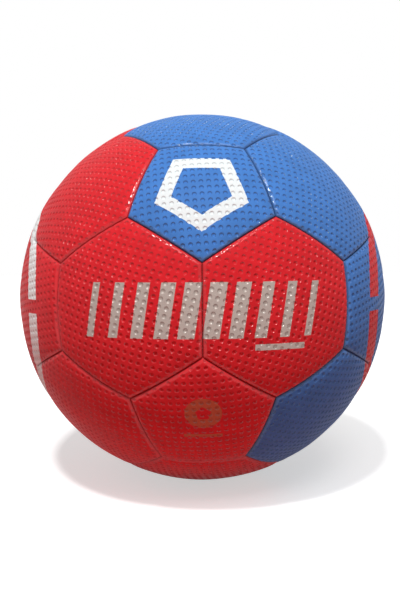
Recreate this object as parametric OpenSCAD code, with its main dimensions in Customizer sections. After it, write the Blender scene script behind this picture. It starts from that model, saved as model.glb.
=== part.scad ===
// Handball, size 2: a hand-sewn shell of 12 pentagons and 20 hexagons, foam pads, a cloth lining,
// and a rubber bladder with a needle valve. The skin of each panel is a tray: its edges roll over
// and turn in as a flange, and neighbouring flanges are sewn to each other, back to back.
// The origin is the ball's centre, +Z is up, and -Y faces the two printed hexagons.

/* [Ball] */
// Distance round the ball
ball_girth = 550; // [540:1:560]
// How far each panel's centre of curvature lies in front of the ball's centre
crown_shift = 3.5; // [2:0.5:5]

/* [Cover] */
// Thickness of the skin
skin_t = 1.1; // [0.9:0.1:1.3]
// Radius that a panel's edge rolls over
roll_r = 1.8; // [1.6:0.1:2]
// Angle at which the rolled edge meets the panel's face
roll_meets = 16; // [12:1:20]
// Gap between two flanges that are sewn together
seam_gap = 0.1; // [0.06:0.02:0.2]
// Room between the flanges' cut edges and the bladder
flange_clear = 0.3; // [0.2:0.05:0.5]

/* [Stitches] */
// Thickness of the flat waxed thread
thread_t = 0.7; // [0.5:0.05:0.8]
// Distance between two stitches
stitch_pitch = 2.8; // [2.4:0.1:4]
// Width of the awl's holes in the flanges
stitch_hole_d = 1.3; // [1.2:0.05:1.4]
// Distance from a flange's cut edge to the row of stitches
stitch_margin = 1.1; // [1:0.05:1.2]
// Distance from a corner of the seam to its first stitch
corner_margin = 1.9; // [1.8:0.1:3]

/* [Backing] */
// Thickness of the foam pads
foam_t = 2; // [1.6:0.1:2.4]
// Thickness of the cloth lining
lining_t = 1.2; // [1:0.1:1.5]
// Room between two layers, which the glue fills
layer_clear = 0.1; // [0.08:0.01:0.15]

/* [Bladder] */
// Wall of the bladder
bladder_t = 0.8; // [0.6:0.1:1.2]
// Width of the patch that stiffens the bladder round the valve
patch_d = 36; // [30:1:44]
// Thickness of that patch
patch_t = 0.7; // [0.5:0.1:1]
// Width of the weight patch opposite the valve, which balances the ball
weight_d = 30; // [24:1:36]
// Thickness of the weight patch
weight_t = 1.4; // [1:0.1:2]

/* [Valve body] */
// Width of the flange that is glued inside the patch
boot_flange_d = 24; // [20:1:28]
// Thickness of that flange
boot_flange_t = 1; // [0.8:0.1:1.4]
// Width of the stem
stem_d = 9; // [8.6:0.1:10]
// How far the stem reaches into the bladder below the flange
stem_tail = 5; // [4:0.5:6]
// Width of the nose, which shows in the cover
nose_d = 7; // [6.8:0.1:7.4]
// How far the nose stays below the face of its panel
nose_recess = 0.4; // [0.3:0.1:0.8]
// Room between the valve body and what it passes through
stem_clear = 0.2; // [0.15:0.05:0.4]

/* [Valve plug] */
// Width of the plug
plug_d = 4.4; // [4.2:0.1:4.6]
// Width of the plug's head
head_d = 5.6; // [5.4:0.1:5.8]
// Depth of the head
head_t = 1.2; // [1:0.1:1.6]
// Width of the collar that holds the plug below the stem
collar_d = 5.8; // [5.4:0.1:6.4]
// Depth of the collar
collar_t = 1.5; // [1.2:0.1:2]
// Width of the needle's passage
needle_d = 2; // [1.8:0.1:2.2]
// Length of the needle's passage
needle_len = 9; // [8:0.5:10]
// Width of the slit below the passage, which shuts when the needle is out
slit_w = 2.6; // [2.4:0.1:3]
// Thickness of the slit
slit_t = 0.2; // [0.15:0.05:0.3]
// Room between the plug and the stem
plug_clear = 0.1; // [0.08:0.01:0.15]

/* [Hidden] */
$fn = 72;
phi = (1 + sqrt(5)) / 2;
signs = [-1, 1];

// The truncated icosahedron, measured with edges of 2
solid_r = sqrt(9 * phi + 10);
half_edge = asin(1 / solid_r);
function corner_angle(n) = asin(1 / (sin(180 / n) * solid_r));
function side_angle(n) = acos(cos(corner_angle(n)) / cos(half_edge));

// The ways that the panels face
function cycle(v) = [v, [v.z, v.x, v.y], [v.y, v.z, v.x]];
pentagon_axes = [for (b = signs, a = signs, v = cycle([0, a * phi, b])) v];
hexagon_axes = concat(
    [for (c = signs, b = signs, a = signs) [a, b, c]],
    [for (b = signs, a = signs, v = cycle([0, a / phi, b * phi])) v]
);
valve_axis = [0, 1 / phi, phi];

// Radii of the layers, from the face of the ball down to the bladder
ball_r = ball_girth / (2 * PI);
foam_out_r = ball_r - skin_t - layer_clear;
foam_in_r = foam_out_r - foam_t;
lining_out_r = foam_in_r - layer_clear;
lining_in_r = lining_out_r - lining_t;
bladder_r = lining_in_r - layer_clear;
flange_in_r = bladder_r + flange_clear;
stitch_r = flange_in_r + stitch_margin;
patch_r = bladder_r - bladder_t - layer_clear;
boot_flange_r = patch_r - patch_t - layer_clear;

// Heights of the valve, along its axis
nose_top = ball_r - nose_recess;
stem_low = boot_flange_r - boot_flange_t - stem_tail;
plug_low = stem_low - plug_clear - collar_t;

// Distances from the middle of a seam
flange_face = seam_gap / 2 + skin_t;
thread_in = flange_face + layer_clear;
thread_out = thread_in + thread_t;
pad_side = thread_out + layer_clear;

// The stitches along a seam
seam_len = 2 * half_edge * PI / 180 * stitch_r;
stitch_count = floor((seam_len - 2 * corner_margin) / stitch_pitch) + 1;
stitch_step = stitch_pitch / stitch_r * 180 / PI;
stitch_angles = [for (i = [0 : stitch_count - 1]) (i - (stitch_count - 1) / 2) * stitch_step];

// How far a cutter or a blank reaches past what it makes
past = 1;
past_angle = 0.8;
past_side = 8;

// Two directions closer than this are the same one
same = 0.001;

function unit(v) = v / norm(v);
function is_printed(v) = v.z == 0 && abs(v.x) < 1;
function is_blue(v) = v.x + v.z / 2 > 0 && !is_printed(v);
function is_valve(v) = norm(v - valve_axis) < same;
function is_upper(v) = v.z > 0 || (v.z == 0 && v.x > 0);
function number(i) = str(i < 9 ? "0" : "", i + 1);
function pentagon_name(i) = str("pentagon_", number(i));
function hexagon_name(i) = str("hexagon_", number(i));
pentagons = [0 : len(pentagon_axes) - 1];
hexagons = [0 : len(hexagon_axes) - 1];

// Stands what is drawn round +Z on the given axes: z is the way it faces, and +X leans towards
module stand(z, towards) {
    x = unit(towards - (towards * z) * z);
    y = cross(z, x);
    multmatrix([[x.x, y.x, z.x, 0], [x.y, y.y, z.y, 0], [x.z, y.z, z.z, 0], [0, 0, 0, 1]]) children();
}

// Stands a panel on its axis, with +X towards the neighbour that shares its side 0
module on_axis(axis, neighbours) {
    z = unit(axis);
    nearest = max([for (v = neighbours) unit(v) * z]);
    stand(z, [for (v = neighbours) if (unit(v) * z > nearest - same) unit(v)][0]) children();
}
module on_pentagon(axis) on_axis(axis, hexagon_axes) children();
module on_hexagon(axis) on_axis(axis, pentagon_axes) children();

// Goes to side k of a panel: +X points to the side's middle, and +Z along the seam's normal, inwards
module on_side(n, k) rotate([0, side_angle(n) - 90, 360 * k / n]) children();

// A round blank for a panel of n sides, crowned outside when shift isn't 0
module dome(n, out_r, in_r, shift) rotate_extrude() intersection() {
    difference() {
        translate([0, shift]) circle(out_r - shift);
        circle(in_r);
    }
    polygon([[0, 0], [ball_r * tan(corner_angle(n) + past_angle), ball_r], [0, ball_r]]);
}

// Trims a blank along the seam and rolls its edge over
module side_cutter(n) {
    forward = crown_shift * cos(side_angle(n));
    aside = crown_shift * sin(side_angle(n));
    edge_r = forward + sqrt((ball_r - crown_shift) ^ 2 - aside ^ 2);
    roll_x = edge_r - roll_r * cos(roll_meets);
    roll_y = seam_gap / 2 + roll_r;
    low = flange_in_r - past_side;
    high = ball_r + past;
    sweep = half_edge + past_angle;
    rotate(-sweep) rotate_extrude(angle = 2 * sweep) {
        translate([low, -past_side]) square([high - low, past_side + seam_gap / 2]);
        difference() {
            translate([roll_x, 0]) square([high - roll_x, roll_y]);
            translate([roll_x, roll_y]) circle(roll_r);
        }
    }
}

// Trims a blank flat, at a distance from the seam
module side_plane(distance) translate([0, -ball_r / 2, distance - ball_r])
    cube(ball_r);

// The skin of a panel: a crowned tray with its stitch holes
module skin(n) difference() {
    difference() {
        dome(n, ball_r, flange_in_r, crown_shift);
        for (k = [0 : n - 1]) on_side(n, k) side_cutter(n);
    }
    difference() {
        dome(n, ball_r - skin_t, flange_in_r - past, crown_shift);
        for (k = [0 : n - 1]) on_side(n, k) side_plane(flange_face);
    }
    for (k = [0 : n - 1], a = stitch_angles) on_side(n, k) rotate(a)
        translate([stitch_r, 0, -past]) cylinder(d = stitch_hole_d, h = flange_face + 2 * past);
}

// A layer behind the skin, clear of the thread along its sides
module pad(n, out_r, in_r, shift) difference() {
    dome(n, out_r, in_r, shift);
    for (k = [0 : n - 1]) on_side(n, k) side_plane(pad_side);
}

// The way through a layer for the valve body
module valve_hole(d) translate([0, 0, ball_r / 2])
    cylinder(d = d + 2 * stem_clear, h = ball_r);

module pentagon(axis) color(is_blue(axis) ? "royalblue" : "crimson") on_pentagon(axis) skin(5);

module hexagon(axis) color(is_blue(axis) ? "royalblue" : "crimson") on_hexagon(axis) difference() {
    skin(6);
    if (is_valve(axis)) valve_hole(nose_d);
}

module foam_pentagons() color("ivory") for (v = pentagon_axes) on_pentagon(v)
    pad(5, foam_out_r, foam_in_r, crown_shift);

module foam_hexagons() color("ivory") for (v = hexagon_axes) on_hexagon(v) difference() {
    pad(6, foam_out_r, foam_in_r, crown_shift);
    if (is_valve(v)) valve_hole(stem_d);
}

module lining_pentagons() color("whitesmoke") for (v = pentagon_axes) on_pentagon(v)
    pad(5, lining_out_r, lining_in_r, 0);

module lining_hexagons() color("whitesmoke") for (v = hexagon_axes) on_hexagon(v) difference() {
    pad(6, lining_out_r, lining_in_r, 0);
    if (is_valve(v)) valve_hole(stem_d);
}

// The thread of one seam: a run along each flange, joined by a crossing through each pair of holes
module seam_thread() {
    sweep = stitch_angles[stitch_count - 1] + thread_t / 2 / stitch_r * 180 / PI;
    window = [2 * thread_t, stitch_pitch - thread_t, 2 * thread_in];
    difference() {
        rotate(-sweep) rotate_extrude(angle = 2 * sweep)
            translate([stitch_r - thread_t / 2, -thread_out]) square([thread_t, 2 * thread_out]);
        for (i = [1 : stitch_count - 1]) rotate(stitch_angles[i] - stitch_step / 2)
            translate([stitch_r, 0, 0]) cube(window, center = true);
    }
}

// The thread of the seams between pentagons and hexagons
module pentagon_seams(upper) for (v = pentagon_axes) if (is_upper(v) == upper)
    on_pentagon(v) for (k = [0 : 4]) on_side(5, k) seam_thread();

module thread_upper() color("white") pentagon_seams(true);

module thread_lower() color("white") pentagon_seams(false);

// The thread of the seams between two hexagons
module thread_hexagons() color("white") for (i = hexagons, j = hexagons) {
    a = unit(hexagon_axes[i]);
    b = unit(hexagon_axes[j]);
    share_seam = a * b > cos(2 * side_angle(6) + past_angle);
    if (i < j && share_seam) stand(unit(a - b), a + b) seam_thread();
}

// A round rubber disc that follows the bladder, with a hole for the stem
module round_patch(out_r, t, d, hole_d) rotate_extrude() intersection() {
    difference() {
        circle(out_r);
        circle(out_r - t);
    }
    translate([hole_d / 2, 0]) square([(d - hole_d) / 2, ball_r]);
}

module bladder() color("dimgray") difference() {
    sphere(bladder_r);
    sphere(bladder_r - bladder_t);
    on_hexagon(valve_axis) valve_hole(stem_d);
}

module valve_patch() color("black") on_hexagon(valve_axis)
    round_patch(patch_r, patch_t, patch_d, stem_d + 2 * stem_clear);

module weight_patch() color("black") on_hexagon(-valve_axis)
    round_patch(patch_r, weight_t, weight_d, 0);

// The plug, or with room round it the bore that it sits in
module plug_profile(room) {
    translate([0, plug_low - room]) square([plug_d / 2 + room, nose_top - plug_low + 2 * room]);
    translate([0, nose_top - head_t - room]) square([head_d / 2 + room, head_t + 2 * room]);
}

module valve_body() color("black") on_hexagon(valve_axis) rotate_extrude() difference() {
    union() {
        intersection() {
            difference() {
                circle(boot_flange_r);
                circle(boot_flange_r - boot_flange_t);
            }
            square([boot_flange_d / 2, ball_r]);
        }
        translate([0, stem_low]) square([stem_d / 2, foam_out_r - layer_clear - stem_low]);
        translate([0, stem_low]) square([nose_d / 2, nose_top - stem_low]);
    }
    plug_profile(plug_clear);
}

module valve_plug() color("dimgray") on_hexagon(valve_axis) difference() {
    needle_low = nose_top - needle_len;
    slit_h = needle_low - plug_low + 2 * past;
    rotate_extrude() {
        plug_profile(0);
        translate([0, plug_low]) square([collar_d / 2, collar_t]);
    }
    translate([0, 0, needle_low]) cylinder(d = needle_d, h = needle_len + past);
    translate([-slit_w / 2, -slit_t / 2, plug_low - past]) cube([slit_w, slit_t, slit_h]);
}

for (i = pentagons) pentagon(pentagon_axes[i]);
for (i = hexagons) hexagon(hexagon_axes[i]);
foam_pentagons();
foam_hexagons();
lining_pentagons();
lining_hexagons();
thread_upper();
thread_lower();
thread_hexagons();
bladder();
valve_patch();
weight_patch();
valve_body();
valve_plug();
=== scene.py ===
"""Handball, size 2: a hand-sewn cover of 32 panels over foam, cloth lining and a rubber bladder."""

from math import acos, asin, cos, pi, radians, sin, sqrt, tan

import bpy
import numpy as np
from mathutils import Euler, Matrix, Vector
from mathutils.geometry import delaunay_2d_cdt


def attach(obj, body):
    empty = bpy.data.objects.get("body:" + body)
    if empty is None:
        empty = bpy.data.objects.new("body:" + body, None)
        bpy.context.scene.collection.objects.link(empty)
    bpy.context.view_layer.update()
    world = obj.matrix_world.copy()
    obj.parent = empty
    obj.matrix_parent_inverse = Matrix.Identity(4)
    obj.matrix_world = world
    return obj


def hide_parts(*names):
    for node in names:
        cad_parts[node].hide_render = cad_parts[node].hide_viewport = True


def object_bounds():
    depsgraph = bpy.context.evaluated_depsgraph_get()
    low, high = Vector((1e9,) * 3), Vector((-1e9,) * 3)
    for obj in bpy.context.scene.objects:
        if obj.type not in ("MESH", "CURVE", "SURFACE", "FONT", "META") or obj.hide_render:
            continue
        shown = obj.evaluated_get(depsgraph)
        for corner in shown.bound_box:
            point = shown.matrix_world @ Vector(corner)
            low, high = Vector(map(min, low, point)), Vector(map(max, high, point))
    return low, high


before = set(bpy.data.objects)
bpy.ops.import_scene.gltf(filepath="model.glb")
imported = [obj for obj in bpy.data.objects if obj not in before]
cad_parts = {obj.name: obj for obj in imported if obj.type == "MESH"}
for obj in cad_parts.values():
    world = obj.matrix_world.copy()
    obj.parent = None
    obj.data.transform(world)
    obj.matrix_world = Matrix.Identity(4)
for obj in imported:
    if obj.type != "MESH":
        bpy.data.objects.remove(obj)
cad_box = [list(corner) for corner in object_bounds()]

# The camera stands a little above the middle of the ball, square to the two printed hexagons.
# It is close, so the ball shows less than a full half of itself.
mm = 0.001
ball_r = 550 * mm / (2 * pi)
camera_distance = 3.65 * ball_r
camera_height = radians(3.35)
camera_roll = radians(-0.45)
camera = bpy.data.objects.new("camera", bpy.data.cameras.new("camera"))
camera.data.lens = 38.47
camera.data.shift_x = -0.0039
camera.data.shift_y = -0.0052
camera.data.clip_start = 0.01
camera.location = (0, -camera_distance * cos(camera_height), camera_distance * sin(camera_height))
facing = Euler((pi / 2 - camera_height, 0, 0)).to_matrix()
camera.rotation_euler = (facing @ Euler((0, 0, camera_roll)).to_matrix()).to_euler()
bpy.context.scene.collection.objects.link(camera)
bpy.context.scene.camera = camera


# Bladder: a blown ball of black butyl rubber, satin, with a faint bloom where it left the mould.
# Two flat rubber discs, marked by the cloth that they were pressed in, are vulcanised to it: one
# stiffens the valve's place, and one opposite balances it.
class Finish:
    """A material of a piece. Each step adds nodes and gives back the socket that the next step reads."""

    def __init__(self, name, **shine):
        self.material = bpy.data.materials.new(name)
        self.material.use_nodes = True
        self.tree = self.material.node_tree
        self.shader = self.tree.nodes["Principled BSDF"]
        for socket, value in shine.items():
            self.shader.inputs[socket.replace("_", " ")].default_value = value
        self.place = self.add("TexCoord", {}, {}).outputs["Object"]

    def add(self, kind, settings, inputs):
        """Adds a node. An input that is a socket is linked, and a value is set."""
        node = self.tree.nodes.new("ShaderNode" + kind)
        for setting, value in settings.items():
            setattr(node, setting, value)
        for socket, value in inputs.items():
            if isinstance(value, bpy.types.NodeSocket):
                self.tree.links.new(value, node.inputs[socket])
            else:
                node.inputs[socket].default_value = value
        return node

    def sum(self, operation, *values):
        """One sum, such as ADD or MAXIMUM, of one to three values."""
        return self.add("Math", {"operation": operation}, dict(enumerate(values))).outputs[0]

    def along(self, direction, place=None):
        """How far a place lies along a direction."""
        inputs = {0: place or self.place, 1: direction}
        return self.add("VectorMath", {"operation": "DOT_PRODUCT"}, inputs).outputs["Value"]

    def fade(self, value, start, end, low=0, high=1):
        """Goes smoothly from low to high as the value goes from start to end."""
        inputs = {"Value": value, "From Min": start, "From Max": end, "To Min": low, "To Max": high}
        return self.add("MapRange", {"interpolation_type": "SMOOTHSTEP"}, inputs).outputs["Result"]

    def length(self, vector):
        """How long a vector is."""
        return self.add("VectorMath", {"operation": "LENGTH"}, {0: vector}).outputs["Value"]

    def grain(self, size, detail=2, rough=0.5):
        """Cloudy noise whose patches are about this size."""
        inputs = {"Vector": self.place, "Scale": 1 / size, "Detail": detail, "Roughness": rough}
        return self.add("TexNoise", {}, inputs).outputs[0]

    def cells(self, size):
        """Distance to the nearest of many points about this far apart."""
        inputs = {"Vector": self.place, "Scale": 1 / size}
        return self.add("TexVoronoi", {}, inputs).outputs["Distance"]

    def blend(self, share, first, second):
        """Two colours mixed by a share."""
        inputs = {0: share, 6: first, 7: second}
        return self.add("Mix", {"data_type": "RGBA"}, inputs).outputs[2]

    def colour(self, socket):
        """The colour of the material itself."""
        self.tree.links.new(socket, self.shader.inputs["Base Color"])

    def rough(self, value, low, high):
        """The roughness, from low where the value is 0 to high where it is 1."""
        spread = self.fade(value, 0, 1, low, high)
        self.tree.links.new(spread, self.shader.inputs["Roughness"])

    def relief(self, height, depth):
        """A relief whose height of 1 stands for this depth, laid over any relief before it."""
        bump = self.add("Bump", {}, {"Distance": depth, "Height": height})
        previous = self.shader.inputs["Normal"]
        if previous.is_linked:
            self.tree.links.new(previous.links[0].from_socket, bump.inputs["Normal"])
        self.tree.links.new(bump.outputs[0], previous)


def dress(node, finish):
    """Gives a carried-over CAD node its finish."""
    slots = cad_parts[node].data.materials
    slots.clear()
    slots.append(finish.material)


butyl = Finish("bladder_rubber", Specular_IOR_Level=0.4)
butyl_black, bloom_grey = (0.012, 0.012, 0.014, 1), (0.05, 0.05, 0.052, 1)
bloom = butyl.grain(14 * mm, 5, 0.6)
butyl.colour(butyl.blend(butyl.fade(bloom, 0.35, 0.75), butyl_black, bloom_grey))
butyl.rough(bloom, 0.34, 0.56)
butyl.relief(butyl.grain(1.2 * mm, 3), 0.06 * mm)
dress("bladder", butyl)

disc_rubber = Finish("patch_rubber")
rubber_hollow_painted_shade, raised_grey = (0.02, 0.02, 0.02, 1), (0.05, 0.05, 0.047, 1)
mark_pitch = 0.9 * mm
marks_across = disc_rubber.sum("SINE", disc_rubber.along((2 * pi / mark_pitch, 0, 0)))
marks_along = disc_rubber.sum("SINE", disc_rubber.along((0, 1.3 * pi / mark_pitch, 1.5 * pi / mark_pitch)))
pressed_cloth = disc_rubber.sum("MULTIPLY", marks_across, marks_along)
# Painted shade: the hollows of the cloth marks are coloured darker than the raised marks.
disc_rubber.colour(disc_rubber.blend(disc_rubber.fade(pressed_cloth, -1, 1), rubber_hollow_painted_shade, raised_grey))
disc_rubber.rough(disc_rubber.grain(3 * mm), 0.6, 0.85)
disc_rubber.relief(pressed_cloth, 0.05 * mm)
dress("valve_patch", disc_rubber)
dress("weight_patch", disc_rubber)


# Valve: a turned body of black nitrile whose nose comes up through the cover, and a softer
# grey plug pushed into it from outside. Both are moulded, and their shine varies in small patches.
nitrile = Finish("valve_rubber", Specular_IOR_Level=0.45)
nitrile_black, worn_grey = (0.014, 0.014, 0.015, 1), (0.06, 0.06, 0.062, 1)
wear = nitrile.grain(0.8 * mm, 4, 0.6)
nitrile.colour(nitrile.blend(nitrile.fade(wear, 0.45, 0.8), nitrile_black, worn_grey))
nitrile.rough(wear, 0.3, 0.55)
nitrile.relief(wear, 0.04 * mm)
dress("valve_body", nitrile)

plug_rubber = Finish("plug_rubber")
plug_grey, dusty_grey = (0.045, 0.045, 0.05, 1), (0.11, 0.11, 0.115, 1)
dust = plug_rubber.grain(0.5 * mm, 4, 0.7)
plug_rubber.colour(plug_rubber.blend(plug_rubber.fade(dust, 0.4, 0.75), plug_grey, dusty_grey))
plug_rubber.rough(dust, 0.42, 0.7)
plug_rubber.relief(dust, 0.03 * mm)
dress("valve_plug", plug_rubber)


# Lining: four layers of cotton and polyester cloth glued crosswise, cut to each panel.
# Its outer face shows the warp and weft, yellowed a little by the latex.
cloth = Finish("lining_cloth", Roughness=0.92, Sheen_Weight=0.25)
cloth_hollow_painted_shade, raised_cloth, latex_yellow = (0.5, 0.47, 0.4, 1), (0.78, 0.76, 0.7, 1), (0.8, 0.72, 0.52, 1)
yarn = 0.55 * mm
warp = cloth.sum("SINE", cloth.along((2 * pi / yarn, 0.4 * pi / yarn, 0)))
weft = cloth.sum("SINE", cloth.along((-0.3 * pi / yarn, 0.9 * pi / yarn, 1.7 * pi / yarn)))
weave = cloth.fade(cloth.sum("MULTIPLY", warp, weft), -1, 1)
latex = cloth.grain(9 * mm, 4)
# Painted shade: the hollows between the yarns are coloured darker.
cloth.colour(cloth.blend(latex, cloth.blend(weave, cloth_hollow_painted_shade, raised_cloth), latex_yellow))
cloth.relief(weave, 0.12 * mm)
dress("lining_pentagons", cloth)
dress("lining_hexagons", cloth)


# Foam: a closed-cell sheet between cover and lining, which gives the ball its soft grip.
# Cut cells show as fine pores.
foam = Finish("foam_sheet", Roughness=0.85, Subsurface_Weight=0.1,
              Subsurface_Radius=(1 * mm, 0.8 * mm, 0.6 * mm))
pore_painted_shade, foam_cream = (0.5, 0.46, 0.38, 1), (0.84, 0.8, 0.7, 1)
pores = foam.cells(0.45 * mm)
# Painted shade: the pores are coloured darker than the cell walls.
foam.colour(foam.blend(foam.fade(pores, 0.1, 0.6), pore_painted_shade, foam_cream))
foam.relief(pores, 0.1 * mm)
dress("foam_pentagons", foam)
dress("foam_hexagons", foam)


# Thread: white polyester, five plies twisted and drawn through wax. A needle carries it to and fro
# through the holes of two flanges, and it pulls them together.
thread = Finish("waxed_thread", Coat_Weight=0.15, Sheen_Weight=0.2)
ply_painted_shade, thread_white = (0.55, 0.52, 0.45, 1), (0.85, 0.84, 0.78, 1)
ply = 0.5 * mm
plies = thread.sum("SINE", thread.along((2.2 * pi / ply, 1.9 * pi / ply, 2.5 * pi / ply)))
wax = thread.grain(0.6 * mm, 3)
# Painted shade: the grooves between the plies are coloured darker.
thread.colour(thread.blend(thread.fade(plies, -1, 1), ply_painted_shade, thread_white))
thread.rough(wax, 0.4, 0.7)
thread.relief(plies, 0.08 * mm)
for seams in ("thread_upper", "thread_lower", "thread_hexagons"):
    dress(seams, thread)


# Cover, the panels: soft grained leather cut to pentagons and hexagons and embossed all over with
# round pits. They are sewn inside out and then turned, so that each edge rolls over into its seam.
golden = (1 + sqrt(5)) / 2
edge_two_r = sqrt(9 * golden + 10)
half_edge = asin(1 / edge_two_r)
crown_shift = 3.5 * mm
skin_t = 1.1 * mm
seam_gap = 0.05 * mm
shoulder_w, shoulder_h = 1.5 * mm, 0.9 * mm
shoulder_angles, rows_in_face = range(0, 91, 10), 6
pillow_w, pillow_h = 5.5 * mm, 0.5 * mm
flange_h, flange_rows, turn_back_h = 3.95 * mm, 4, 2.4 * mm
stitch_pitch, points_per_stitch = 2.82 * mm, 5
pucker_w, pucker_h, pucker_start_w = 2.2 * mm, 0.07 * mm, 1 * mm
broad_wave, cross_wave, short_wave = 7 * mm, 9 * mm, 5 * mm
uneven_w, uneven_h = 4 * mm, 0.05 * mm
pit_pitch, pit_h, pits_out = 2.95 * mm, 0.47 * mm, 14
pit_floor_r, pit_rim_r, pit_guard = 0.58 * mm, 1.0 * mm, 0.1 * mm
ring_points = (6, 8, 10, 10, 10)
bare_edge_w, pit_fade_w = 0.3 * mm, 0.9 * mm
sliver = 0.12 * mm
valve_hole_r, hole_points = 3.7 * mm, 48
bare_hole_w, hole_fade_w = 0.5 * mm, 0.8 * mm
lip = 0.25 * mm


def corner_angle(sides):
    """Angle at the ball's centre from the middle of a panel to its corner. Its sine is the panel's
    radius over the ball's, where a seam is 2 long: 1 / sin(pi / n) over edge_two_r."""
    return asin(1 / (sin(pi / sides) * edge_two_r))


def side_angle(sides):
    """Angle at the ball's centre from the middle of a panel to the middle of its side. Its cosine is
    that of the corner's angle over that of half a seam's."""
    return acos(cos(corner_angle(sides)) / cos(half_edge))


def smooth(value):
    """Goes from 0 to 1 with a level start and end, as 3 v^2 - 2 v^3."""
    held = np.clip(value, 0, 1)
    return held * held * (3 - 2 * held)


def around(count, radius):
    """Flat points evenly round a circle, r (cos, sin) of each step's angle."""
    angle = 2 * pi * np.arange(count) / count
    return radius * np.stack([np.cos(angle), np.sin(angle)], 1)


def wrapped(flat):
    """Directions of the points of a panel laid flat. A point at a distance d from the panel's middle is
    d / r away from it on the ball."""
    reach = np.linalg.norm(flat, axis=1)
    share = np.sin(reach / ball_r) / np.maximum(reach, 1e-9)
    return np.column_stack([flat * share[:, None], np.cos(reach / ball_r)])


def laid_flat(way):
    """The reverse of wrapped: x and y times r angle / sin angle."""
    angle = np.arccos(np.clip(way[:, 2], -1, 1))
    return way[:, :2] * (ball_r * angle / np.maximum(np.sin(angle), 1e-9))[:, None]


def seam_ring(sides, from_seam):
    """Directions round a panel at one distance from the planes of its seams. On side 0 a direction
    is (u tan a, u y, 1), where u follows from sin a (1 - u) = |direction| sin lift."""
    a = side_angle(sides)
    count = points_per_stitch * round(2 * half_edge * ball_r / stitch_pitch)
    lift = (from_seam + seam_gap) / ball_r
    y = tan(corner_angle(sides)) * sin(pi / sides) * (2 * np.arange(count) / count - 1)
    both = sin(a) ** 2 - lift**2 * (tan(a) ** 2 + y * y)
    u = (sin(a) ** 2 - np.sqrt(sin(a) ** 4 - both * (sin(a) ** 2 - lift**2))) / both
    turns = 2 * pi * np.arange(sides)[:, None] / sides
    turned_x = u * tan(a) * np.cos(turns) - u * y * np.sin(turns)
    turned_y = u * tan(a) * np.sin(turns) + u * y * np.cos(turns)
    way = np.column_stack([turned_x.ravel(), turned_y.ravel(), np.ones(sides * count)])
    return way / np.linalg.norm(way, axis=1)[:, None]


def to_seam(way, sides):
    """How far directions are from the nearest seam of their panel, and how far along that seam. The
    sine of the first angle is z sin a - outward cos a, for the plane through that seam."""
    a = side_angle(sides)
    turns = 2 * pi * np.arange(sides) / sides
    x, y, z = way[:, :1], way[:, 1:2], way[:, 2:]
    outward = x * np.cos(turns) + y * np.sin(turns)
    off = np.arcsin(z * sin(a) - outward * cos(a))
    along = np.arctan2(y * np.cos(turns) - x * np.sin(turns), z * cos(a) + outward * sin(a))
    nearest = np.arange(len(way)), np.argmin(off, axis=1)
    return ball_r * off[nearest] - seam_gap, ball_r * along[nearest]


def crown(cosine):
    """Radius of the crowned face along a direction. The face is a sphere of radius r whose centre lies
    c in front of the ball's centre, so this is c cos + sqrt(r^2 - c^2 sin^2)."""
    r = ball_r - crown_shift
    return crown_shift * cosine + np.sqrt(r * r - crown_shift**2 * (1 - cosine**2))


def rolled(from_seam):
    """How far the face drops at a distance x from a seam: a shallow slope, h (1 - x / w)^2, and
    a quarter of an ellipse, h (1 - sqrt(1 - (1 - x / w)^2))."""
    slope = pillow_h * np.clip(1 - from_seam / pillow_w, 0, 1) ** 2
    return slope + shoulder_h * (1 - np.sqrt(1 - np.clip(1 - from_seam / shoulder_w, 0, 1) ** 2))


def band(first, second):
    """Triangles between two closed rings of as many points."""
    after, across = np.roll(first, -1), np.roll(second, -1)
    halves = np.stack([first, second, across], 1), np.stack([first, across, after], 1)
    return np.concatenate(halves)


def sheet(edge, hole, inner, flat):
    """Triangles over the flat points within an edge and round a hole, none with all three corners on
    the hole's rim."""
    chosen = np.concatenate([edge, hole, inner])
    made = delaunay_2d_cdt([Vector(p) for p in flat[chosen]], [], [list(range(len(edge)))], 1, 1e-7)
    faces = np.array(made[2])
    in_hole = (faces >= len(edge)) & (faces < len(edge) + len(hole))
    return chosen[faces[~in_hole.all(axis=1)]]


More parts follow.
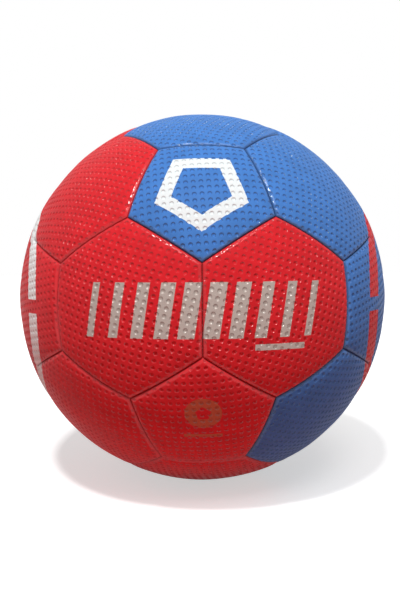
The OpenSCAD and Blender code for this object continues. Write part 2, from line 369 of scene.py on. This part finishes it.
def panel(name, axis, neighbours, row_turn, hole_r=0.0):
    """A panel, closed all round: its face with rings of points at each pit and rows along the seams,
    then down its rolled edge, back up inside the flange and over its inner side. A point lies at
    crown - depth - drop along its direction, and only the face has a drop."""
    sides = 5 if name.startswith("pentagon") else 6
    z = Vector(axis).normalized()
    beside = max(neighbours, key=lambda v: round(Vector(v).normalized().dot(z), 6))
    x = Vector(beside) - z * z.dot(Vector(beside))
    x.normalize()
    turn = np.array([x, z.cross(x), z])
    level = np.cross([0, 0, 1], z)
    level /= np.linalg.norm(level)
    level, upward = turn[:2] @ level, turn[:2] @ np.cross(z, level)
    lean = radians(row_turn)
    along_rows = level * cos(lean) + upward * sin(lean)
    across_rows = upward * cos(lean) - level * sin(lean)
    grid = np.array([along_rows, across_rows])

    steps = np.arange(-pits_out, pits_out + 1) * pit_pitch
    centres = np.stack(np.meshgrid(steps, steps), -1).reshape(-1, 1, 2)
    between = np.array([(0, 0), (0.5, 0), (0, 0.5), (0.5, 0.5)]) * pit_pitch
    pit_wall_r = (pit_floor_r + pit_rim_r) / 2
    radii = (pit_floor_r - pit_guard, pit_floor_r, pit_wall_r, pit_rim_r, pit_rim_r + pit_guard)
    rings = [around(count, r) for count, r in zip(ring_points, radii)]
    embossed = (centres + np.concatenate([between, *rings])).reshape(-1, 2) @ grid
    # The first rows along a seam belong to the face's net. The rest go down the rolled edge.
    shoulder = [shoulder_w * (1 - sin(radians(a))) for a in shoulder_angles]
    rows = np.concatenate([laid_flat(seam_ring(sides, x)) for x in shoulder[:rows_in_face]])

    def off_pit(flat):
        """Distance of flat points from the middle of the nearest pit."""
        at = flat @ grid.T / pit_pitch
        return pit_pitch * np.linalg.norm(at - np.round(at), axis=1)

    inner = np.concatenate([embossed, rows[off_pit(rows) > pit_rim_r + 2 * pit_guard]])
    reach = np.linalg.norm(inner, axis=1)
    inner = inner[(reach < ball_r * corner_angle(sides)) & (reach > hole_r + lip)]
    inner = inner[to_seam(wrapped(inner), sides)[0] > shoulder[rows_in_face] + sliver]
    backing = centres.reshape(-1, 2) @ grid
    reach = np.linalg.norm(backing, axis=1)
    backing = backing[(reach < ball_r * corner_angle(sides)) & (reach > hole_r + pit_pitch / 2)]
    backing = backing[to_seam(wrapped(backing), sides)[0] > 2 * skin_t + pit_pitch / 2]

    laid = []

    def lay(way, depth, is_face=0):
        """Lays points and gives back their numbers."""
        start = sum(len(row[0]) for row in laid)
        laid.append((way, np.full(len(way), depth), np.full(len(way), is_face)))
        return np.arange(start, start + len(way))

    bottom = shoulder_h + pillow_h
    flange = [(0, depth) for depth in np.linspace(bottom, flange_h, flange_rows + 1)[1:]]
    flange += [(skin_t, flange_h), (skin_t, turn_back_h), (2 * skin_t, skin_t)]
    down = [lay(seam_ring(sides, x), 0, 1) for x in shoulder[rows_in_face:]]
    down += [lay(seam_ring(sides, x), depth) for x, depth in flange]
    down_hole = [np.zeros(0, int)] * 4
    if hole_r:
        wall = [(lip, 0, 1), (0.3 * lip, 0.3 * lip, 0), (0, lip, 0), (0, skin_t, 0)]
        down_hole = [lay(wrapped(around(hole_points, hole_r + x)), depth, face) for x, depth, face in wall]
    inner = lay(wrapped(inner), 0, 1)
    backing = lay(wrapped(backing), skin_t)

    way, depth, is_face = (np.concatenate(column) for column in zip(*laid))
    flat = laid_flat(way)
    faces = [sheet(down[0], down_hole[0], inner, flat)]
    faces += [sheet(down[-1], down_hole[-1], backing, flat)[:, ::-1]]
    faces += [band(a, b) for a, b in zip(down, down[1:])]
    faces += [band(b, a) for a, b in zip(down_hole, down_hole[1:])]
    faces = np.concatenate(faces)

    from_seam, along = to_seam(way, sides)
    pit = 1 - np.clip((off_pit(flat) - pit_floor_r) / (pit_rim_r - pit_floor_r), 0, 1)
    pit *= smooth((from_seam - bare_edge_w) / pit_fade_w) * is_face
    if hole_r:
        pit *= smooth((np.linalg.norm(flat, axis=1) - hole_r - bare_hole_w) / hole_fade_w)
    pull = np.cos(2 * pi * along / stitch_pitch) * smooth(1 - from_seam / pucker_w)
    pull *= smooth(from_seam / pucker_start_w)
    right, up = (flat @ grid.T).T
    uneven = np.sin(right / broad_wave + row_turn) * np.cos(up / cross_wave - row_turn)
    uneven += np.sin((right + up) / short_wave)
    drop = rolled(from_seam) + pit_h * pit + pucker_h * pull
    drop += uneven_h * uneven * smooth(from_seam / uneven_w)
    points = way @ turn * (crown(way[:, 2]) - depth - is_face * drop)[:, None]
    mesh = bpy.data.meshes.new(name)
    mesh.vertices.add(len(points))
    mesh.vertices.foreach_set("co", points.astype(np.float32).ravel())
    mesh.loops.add(faces.size)
    mesh.loops.foreach_set("vertex_index", faces.astype(np.int32).ravel())
    mesh.polygons.add(len(faces))
    mesh.polygons.foreach_set("loop_start", np.arange(0, faces.size, 3, dtype=np.int32))
    mesh.update(calc_edges=True)
    mesh.shade_smooth()
    for attribute, values in (("pit_wall", 4 * pit * (1 - pit)), ("seam", from_seam)):
        made = mesh.attributes.new(attribute, "FLOAT", "POINT")
        made.data.foreach_set("value", values.astype(np.float32))
    piece = bpy.data.objects.new("cover_" + name, mesh)
    bpy.context.scene.collection.objects.link(piece)
    return piece


# Cover, the finish: drum-dyed leather with a dull face. Painted shade darkens its colour on the walls of
# the pits and in the seams. It is polished there and on the shoulders by hands, and any print is a thin ink
# over the pits.
def tint(colour, share):
    """A colour made darker or lighter."""
    return tuple(min(part * share, 1) for part in colour) + (1,)


def leather(name, dye, painted_shade, ink=None, edge=None, metal=0.0):
    """Leather of one dye, with painted shade in its colour on the walls of its pits and in its seams, as
    dark as the shade share sets. Where there is an ink, edge(finish) is the distance outwards from the
    print's edge, and metal is the share of metal flakes in the ink."""
    cloud_size, crease_size, pore_size = 7 * mm, 0.42 * mm, 0.16 * mm
    crease_h, pore_h = 0.03 * mm, 0.012 * mm
    rag_size, rag_w, rag_middle, print_edge_w = 0.35 * mm, 0.45 * mm, 0.22 * mm, 0.06 * mm
    painted_seam_shade_w, painted_seam_dark_w = 1.6 * painted_shade * mm, 0.1 * mm
    polish_w, full_polish_w = 1.7 * mm, 1.2 * mm
    shoulder_polish, wall_polish = 0.075, 0.13

    skin = Finish(name, Specular_IOR_Level=0.035, Coat_IOR=3.2, Coat_Roughness=0.14,
                  Sheen_Weight=0.07, Sheen_Roughness=0.6)
    pit_wall = skin.add("Attribute", {"attribute_name": "pit_wall"}, {}).outputs["Fac"]
    seam = skin.add("Attribute", {"attribute_name": "seam"}, {}).outputs["Fac"]
    clouds = skin.grain(cloud_size, 3)
    creases = skin.cells(crease_size)
    toned = skin.blend(skin.fade(clouds, 0.3, 0.7), tint(dye, 0.93), tint(dye, 1.07))
    # Painted shade: the colour is darkened on the walls of the pits.
    toned = skin.blend(skin.sum("MULTIPLY", pit_wall, painted_shade), toned, tint(dye, 0.2))
    if ink:
        rag = skin.grain(rag_size, 3, 0.7)
        outside = skin.sum("SUBTRACT", edge(skin), rag_middle)
        outside = skin.sum("MULTIPLY_ADD", rag, rag_w, outside)
        printed = skin.fade(outside, print_edge_w, -print_edge_w)
        rubbed = skin.blend(rag, tint(ink, 0.9), tint(ink, 1.06))
        # Painted shade: the ink is darkened on the walls of the pits.
        ink_with_painted_pit_shade = skin.blend(skin.sum("MULTIPLY", pit_wall, 0.45), rubbed, tint(ink, 0.45))
        toned = skin.blend(printed, toned, ink_with_painted_pit_shade)
        if metal:
            skin.tree.links.new(skin.sum("MULTIPLY", printed, metal), skin.shader.inputs["Metallic"])
    # Painted shade: the colour is darkened in and beside the seams, most at the seam itself.
    painted_seam_shade = skin.fade(seam, painted_seam_shade_w, painted_seam_dark_w, 0, 1.1 * painted_shade)
    skin.colour(skin.blend(painted_seam_shade, toned, tint(dye, 0.25)))
    shoulder = skin.fade(seam, polish_w, full_polish_w, 0.0, shoulder_polish)
    polished = skin.sum("MAXIMUM", shoulder, skin.sum("MULTIPLY", pit_wall, wall_polish))
    skin.tree.links.new(polished, skin.shader.inputs["Coat Weight"])
    uneven = skin.sum("MULTIPLY_ADD", clouds, 0.6, skin.sum("MULTIPLY", creases, 0.4))
    skin.rough(uneven, 0.4, 0.52)
    skin.relief(creases, crease_h)
    skin.relief(skin.grain(pore_size, 2), pore_h)
    return skin


# Cover, the prints: a white five-sided ring on the upper front pentagon, silver bars over the two
# front hexagons, a bronze disc on the lower pentagon, and a broken hoop round each side of the ball.
# They are screened on before the sewing. Each is given as a distance, below 0 inside the print.
def from_front(skin):
    """The place with its back half turned to the front, so that the back carries the same print."""
    x, y, z = skin.add("SeparateXYZ", {}, {0: skin.place}).outputs
    side = skin.sum("SIGN", y)
    right = skin.sum("MULTIPLY", skin.sum("MULTIPLY", x, side), -1)
    depth = skin.sum("MULTIPLY", skin.sum("ABSOLUTE", y), -1)
    return skin.add("CombineXYZ", {}, {0: right, 1: depth, 2: z}).outputs[0], right, z


def in_box(skin, across, upward, half_w, half_h):
    """Distance out of an upright box: the greater of |across| - w and |upward| - h."""
    out_across = skin.sum("SUBTRACT", skin.sum("ABSOLUTE", across), half_w)
    out_upward = skin.sum("SUBTRACT", skin.sum("ABSOLUTE", upward), half_h)
    return skin.sum("MAXIMUM", out_across, out_upward)


def on_front_pentagon(skin, height):
    """How far right and up a place is from the middle of the upper or the lower front pentagon."""
    place, right, _ = from_front(skin)
    return right, skin.along(tuple(Vector((0, height, golden)).normalized()), place)


def five_sided(skin, right, up, first):
    """How far out a place is in a pentagon, one of whose sides faces the first angle: the greatest of
    right cos + up sin over the angles of the five sides."""
    reach = None
    for turn in range(5):
        angle = first + 2 * pi * turn / 5
        side = skin.sum("MULTIPLY_ADD", up, sin(angle), skin.sum("MULTIPLY", right, cos(angle)))
        reach = side if reach is None else skin.sum("MAXIMUM", reach, side)
    return reach


def five_sided_ring(skin):
    """Distance out of a ring that follows the pentagon's sides: | reach - r | - w."""
    ring_r, half_w = 12.5 * mm, 2.7 * mm
    right, up = on_front_pentagon(skin, 1)
    reach = five_sided(skin, right, up, pi / 2)
    return skin.sum("SUBTRACT", skin.sum("ABSOLUTE", skin.sum("SUBTRACT", reach, ring_r)), half_w)


def graded_bars(skin):
    """Distance out of ten slanted bars, widest at the middle, and of a thin bar under them."""
    pitch, half_h, slant = 9.2 * mm, 10.4 * mm, tan(radians(9))
    widest, narrower, bars = 3.2 * mm, 0.45 * mm, 5
    line_right, line_down, line_half_w, line_half_h = 29 * mm, 14 * mm, 9.6 * mm, 1.2 * mm
    _, right, upward = from_front(skin)
    across = skin.sum("MULTIPLY_ADD", upward, -slant, right)
    number = skin.sum("ADD", skin.sum("FLOOR", skin.sum("DIVIDE", across, pitch)), 0.5)
    from_bar = skin.sum("MULTIPLY_ADD", number, -pitch, across)
    rank = skin.sum("ABSOLUTE", number)
    half_w = skin.sum("MULTIPLY_ADD", rank, -narrower, widest + narrower / 2)
    bar = skin.sum("SUBTRACT", skin.sum("ABSOLUTE", from_bar), half_w)
    bar = skin.sum("MAXIMUM", bar, skin.sum("SUBTRACT", skin.sum("ABSOLUTE", upward), half_h))
    past_last = skin.sum("MULTIPLY", skin.sum("SUBTRACT", rank, bars), mm)
    bar = skin.sum("MAXIMUM", bar, past_last)
    across_line = skin.sum("SUBTRACT", right, line_right)
    above_line = skin.sum("ADD", upward, line_down)
    line = in_box(skin, across_line, above_line, line_half_w, line_half_h)
    return skin.sum("MINIMUM", bar, line)


def pierced_disc(skin):
    """Distance out of a disc with a five-sided opening, and of a line under it."""
    disc_r, disc_up, opening_r = 7.2 * mm, 6.6 * mm, 2.6 * mm
    line_up, line_half_w, line_half_h = -5 * mm, 7.6 * mm, 0.9 * mm
    right, up = on_front_pentagon(skin, -1)
    line = in_box(skin, right, skin.sum("SUBTRACT", up, line_up), line_half_w, line_half_h)
    up = skin.sum("SUBTRACT", up, disc_up)
    flat = skin.add("CombineXYZ", {}, {0: right, 1: up}).outputs[0]
    disc = skin.sum("SUBTRACT", skin.length(flat), disc_r)
    in_opening = skin.sum("SUBTRACT", opening_r, five_sided(skin, right, up, -pi / 2))
    disc = skin.sum("MAXIMUM", disc, in_opening)
    return skin.sum("MINIMUM", disc, line)


def broken_hoop(near, far):
    """Distance out of an oval hoop round one side of the ball, broken at the level of its middle. The
    hoop is where sqrt(x^2 + (s y)^2), less what it leans out higher up, lies between two sizes."""
    squeeze, lean = sqrt(0.138), 0.015
    swing_start, swing_end, swing = 20 * mm, 30 * mm, 1.2 * mm
    middle, half_w = (near + far) / 2, (far - near) / 2
    gap_down, gap_half_h = 0.5 * mm, 2.9 * mm

    def edge(skin):
        """The greater of | out - middle | - w and the distance to the end of the gap."""
        inputs = {0: skin.place, 1: (1, squeeze, 0)}
        out = skin.length(skin.add("VectorMath", {"operation": "MULTIPLY"}, inputs).outputs[0])
        height = skin.along((0, 0, 1))
        out = skin.sum("SUBTRACT", out, skin.fade(height, swing_start, swing_end, 0, swing))
        out = skin.sum("MULTIPLY_ADD", height, -lean, out)
        band = skin.sum("SUBTRACT", skin.sum("ABSOLUTE", skin.sum("SUBTRACT", out, middle)), half_w)
        level = skin.sum("ABSOLUTE", skin.sum("ADD", height, gap_down))
        return skin.sum("MAXIMUM", band, skin.sum("SUBTRACT", gap_half_h, level))

    return edge


red = (0.675, 0.018, 0.026)
blue = (0.058, 0.207, 0.575)
# How dark the painted shade is on the pit walls and in the seams of each dye.
red_painted_shade, blue_painted_shade = 0.35, 0.62
ring_ink = (0.79, 0.87, 0.88)
hoop_ink = (0.88, 0.95, 0.94)
silver_ink, silver_flakes = (0.44, 0.385, 0.345), 0.35
bronze_ink, bronze_flakes = (0.42, 0.07, 0.03), 0.2
white_hoop = broken_hoop(71.8 * mm, 76.1 * mm)
red_hoop = broken_hoop(72.4 * mm, 77.4 * mm)
finishes = {
    "red": leather("red_leather", red, red_painted_shade),
    "red_bars": leather("red_leather_silver_bars", red, red_painted_shade, silver_ink, graded_bars, silver_flakes),
    "red_disc": leather("red_leather_bronze_disc", red, red_painted_shade, bronze_ink, pierced_disc, bronze_flakes),
    "red_hoop": leather("red_leather_white_hoop", red, red_painted_shade, hoop_ink, white_hoop),
    "blue": leather("blue_leather", blue, blue_painted_shade),
    "blue_ring": leather("blue_leather_white_ring", blue, blue_painted_shade, ring_ink, five_sided_ring),
    "blue_hoop": leather("blue_leather_red_hoop", blue, blue_painted_shade, red, red_hoop),
}


# Cover, the sewing: each panel is laid in its place. Every panel was cut from its own piece of hide,
# so the rows of pits run their own way on each. The valve's panel has a punched hole.
def cycled(v):
    """A vector and the two others whose numbers come round in turn: xyz, zxy and yzx."""
    return [v, (v[2], v[0], v[1]), (v[1], v[2], v[0])]


pentagon_axes = [v for b in (-1, 1) for a in (-1, 1) for v in cycled((0, a * golden, b))]
hexagon_axes = [(a, b, c) for c in (-1, 1) for b in (-1, 1) for a in (-1, 1)]
hexagon_axes += [v for b in (-1, 1) for a in (-1, 1) for v in cycled((0, a / golden, b * golden))]
pentagon_turns = [4, 12, 8, -14, 21, 13, 4, -8, 17, -5, 9, -12]
hexagon_turns = [-24, -7, 11, 19, -6, -27, 14, -17, 8, -13, -16, 22, 5, -16, -21, -9, 16, -4, 12, 24]
disc_axis, ring_axis, bars_axis = (0, -golden, -1), (0, -golden, 1), (1 / golden, -golden, 0)
valve_axis = (0, 1 / golden, golden)
hoop_reach = cos(radians(60))


def finish_for(axis):
    """The dye and the print of the panel that faces this way. The back repeats the front's prints, and
    blue panels are those to the right of a slanting plane, x + z / 2 = 0."""
    x, y, z = axis
    if (x, -abs(y), z) == disc_axis:
        return "red_disc"
    if (x, -abs(y), z) == ring_axis:
        return "blue_ring"
    if (abs(x), -abs(y), z) == bars_axis:
        return "red_bars"
    dye = "blue" if x + z / 2 > 0 else "red"
    sideways = abs(x) / sqrt(x * x + y * y + z * z)
    return dye + "_hoop" if sideways > hoop_reach else dye


for kind, axes, others, turns in (
    ("pentagon", pentagon_axes, hexagon_axes, pentagon_turns),
    ("hexagon", hexagon_axes, pentagon_axes, hexagon_turns),
):
    for number, axis in enumerate(axes):
        node = f"{kind}_{number + 1:02d}"
        hole_r = valve_hole_r if axis == valve_axis else 0.0
        piece = panel(node, axis, others, turns[number], hole_r)
        chosen = finish_for(axis)
        piece.data.materials.append(finishes[chosen].material)
        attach(piece, "root")
        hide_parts(node)


# Floor: a plain sheet that the ball rests on. Seen directly or mirrored it is white but for the ball's
# shadow and a painted shadow round the ball, and the light that it throws up onto the ball is warm.
floor_z, floor_half = cad_box[0][2], 4.0
floor_mesh = bpy.data.meshes.new("floor")
corners = [(-floor_half, -floor_half, floor_z), (floor_half, -floor_half, floor_z)]
corners += [(floor_half, floor_half, floor_z), (-floor_half, floor_half, floor_z)]
floor_mesh.from_pydata(corners, [], [(0, 1, 2, 3)])
floor = bpy.data.objects.new("floor", floor_mesh)
bpy.context.scene.collection.objects.link(floor)
paper = Finish("floor_paper", Base_Color=(0.58, 0.19, 0.17, 1), Roughness=0.9, Specular_IOR_Level=0.0)
ray = paper.add("LightPath", {}, {}).outputs
seen = paper.sum("MAXIMUM", ray["Is Camera Ray"], ray["Is Transmission Ray"])
seen = paper.sum("MAXIMUM", seen, ray["Is Glossy Ray"])

# The sheet glows less near the ball: a painted shadow round the ball, which also lets the real shadow show.
painted_shadow_near, painted_shadow_far = 0.15, 0.8
glow_with_painted_shadow = paper.fade(paper.length(paper.place), painted_shadow_near, painted_shadow_far, 0.55, 1)
glow = paper.add("Emission", {}, {"Strength": glow_with_painted_shadow})
white_sheet = paper.add("BsdfDiffuse", {}, {"Color": (0.8, 0.8, 0.8, 1)})
lit = paper.add("AddShader", {}, {0: white_sheet.outputs[0], 1: glow.outputs[0]})
choice = paper.add("MixShader", {}, {0: seen, 1: paper.shader.outputs[0], 2: lit.outputs[0]})
paper.tree.links.new(choice.outputs[0], paper.tree.nodes["Material Output"].inputs["Surface"])
floor_mesh.materials.append(paper.material)


# Light: a broad soft box above and in front of the ball, and beside it a small bright one that sparks
# on the polish. The room is even and dim as a light, and white where it is seen or mirrored.
def soft_box(name, place, size, power):
    """A square white lamp that faces the middle of the ball."""
    lamp = bpy.data.lights.new(name, "AREA")
    lamp.shape = "SQUARE"
    lamp.size = size
    lamp.energy = power
    box = bpy.data.objects.new(name, lamp)
    box.location = place
    box.rotation_euler = (-Vector(place)).to_track_quat("-Z", "Y").to_euler()
    bpy.context.scene.collection.objects.link(box)


soft_box("top_light", (0.2, -0.66, 0.97), 0.5, 4.6)
soft_box("spark_light", (-0.13, -0.62, 1.01), 0.09, 9.3)
room_light, room_seen = 0.19, 1.0
world = bpy.data.worlds.new("room")
world.use_nodes = True
bpy.context.scene.world = world
room = world.node_tree
room_ray = room.nodes.new("ShaderNodeLightPath").outputs
shown = room_ray["Is Camera Ray"]
for sight in ("Is Transmission Ray", "Is Glossy Ray"):
    either = room.nodes.new("ShaderNodeMath")
    either.operation = "MAXIMUM"
    room.links.new(shown, either.inputs[0])
    room.links.new(room_ray[sight], either.inputs[1])
    shown = either.outputs[0]
strength = room.nodes.new("ShaderNodeMapRange")
strength.inputs["To Min"].default_value = room_light
strength.inputs["To Max"].default_value = room_seen
room.links.new(shown, strength.inputs["Value"])
background = room.nodes["Background"]
background.inputs["Color"].default_value = (1, 1, 1, 1)
room.links.new(strength.outputs["Result"], background.inputs["Strength"])
bpy.context.scene.view_settings.view_transform = "Standard"
